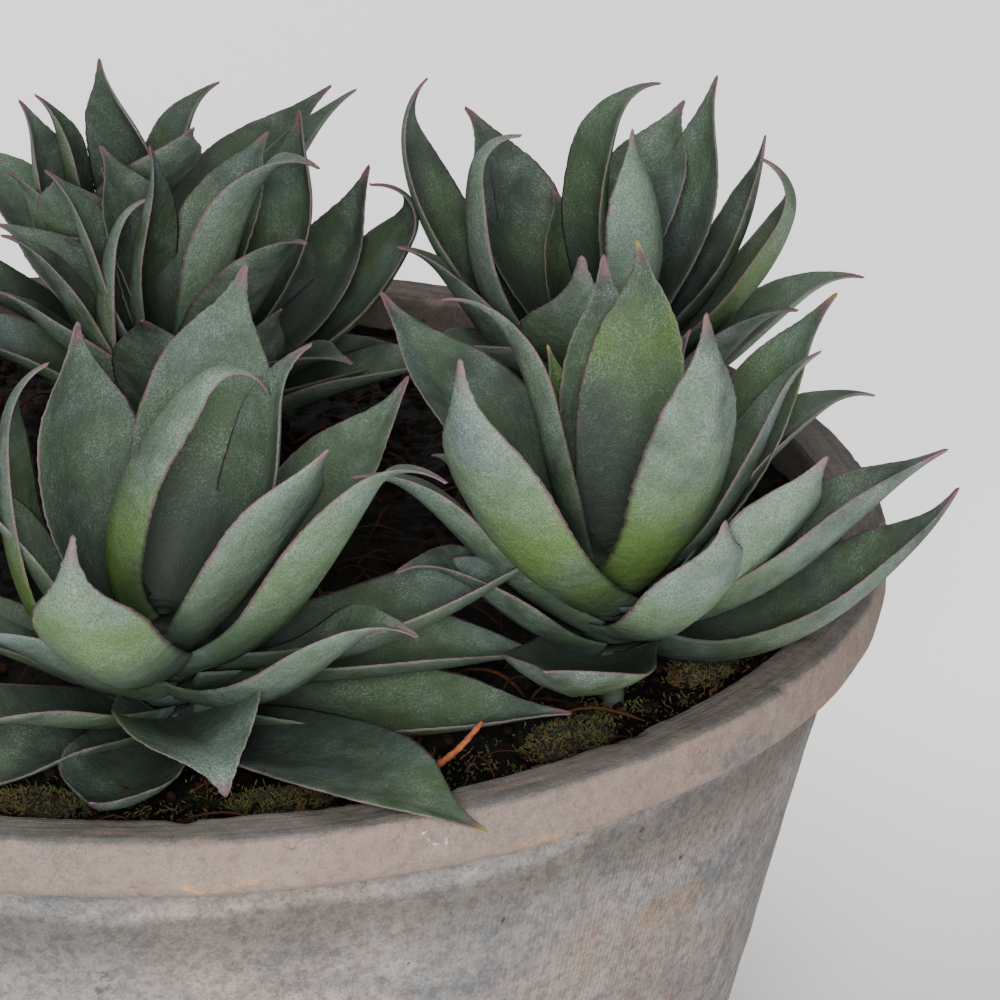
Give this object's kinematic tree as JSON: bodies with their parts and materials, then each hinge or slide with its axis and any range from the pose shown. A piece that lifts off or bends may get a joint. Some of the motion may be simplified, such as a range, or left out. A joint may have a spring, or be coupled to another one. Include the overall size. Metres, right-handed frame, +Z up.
{
  "type": "potted houseleek",
  "caption": "Round tapered clay pot with a thick rolled rim, planted close with spiky rosettes of pointed, cupped leaves over dark growing mix.",
  "frame": {"origin": "centre of the pot's flat underside, on the surface that it stands on", "axes": "+Z up along the pot's axis; -Y towards the side that the picture was taken from; +X to the right in it"},
  "size_m": [0.4017, 0.3864, 0.3073],
  "materials": {
    "aged_clay": "matte",
    "growing_mix": "matte",
    "leaf": "matte",
    "stem": "matte",
    "moss": "matte",
    "twig": "matte"
  },
  "bodies": {
    "root": {"moss_1": "moss", "moss_2": "moss", "moss_3": "moss", "moss_4": "moss", "needle_pine": "twig", "pot": "aged_clay", "rosette_a_stem": "stem", "rosette_a_whorl_1": "leaf", "rosette_a_whorl_2": "leaf", "rosette_a_whorl_3": "leaf", "rosette_a_whorl_4": "leaf", "rosette_a_whorl_5": "leaf", "rosette_a_whorl_6": "leaf", "rosette_b_stem": "stem", "rosette_b_whorl_1": "leaf", "rosette_b_whorl_2": "leaf", "rosette_b_whorl_3": "leaf", "rosette_b_whorl_4": "leaf", "rosette_b_whorl_5": "leaf", "rosette_c_stem": "stem", "rosette_c_whorl_1": "leaf", "rosette_c_whorl_2": "leaf", "rosette_c_whorl_3": "leaf", "rosette_c_whorl_4": "leaf", "rosette_c_whorl_5": "leaf", "rosette_d_stem": "stem", "rosette_d_whorl_1": "leaf", "rosette_d_whorl_2": "leaf", "rosette_d_whorl_3": "leaf", "rosette_d_whorl_4": "leaf", "rosette_d_whorl_5": "leaf", "rosette_e_stem": "stem", "rosette_e_whorl_1": "leaf", "rosette_e_whorl_2": "leaf", "rosette_e_whorl_3": "leaf", "rosette_e_whorl_4": "leaf", "rosette_e_whorl_5": "leaf", "rosette_f_stem": "stem", "rosette_f_whorl_1": "leaf", "rosette_f_whorl_2": "leaf", "rosette_f_whorl_3": "leaf", "rosette_f_whorl_4": "leaf", "rosette_f_whorl_5": "leaf", "rosette_g_stem": "stem", "rosette_g_whorl_1": "leaf", "rosette_g_whorl_2": "leaf", "rosette_g_whorl_3": "leaf", "rosette_g_whorl_4": "leaf", "rosette_g_whorl_5": "leaf", "soil": "growing_mix", "stalk_dry": "twig", "twig_amber": "twig", "twig_brown": "twig"}
  },
  "joints": []
}
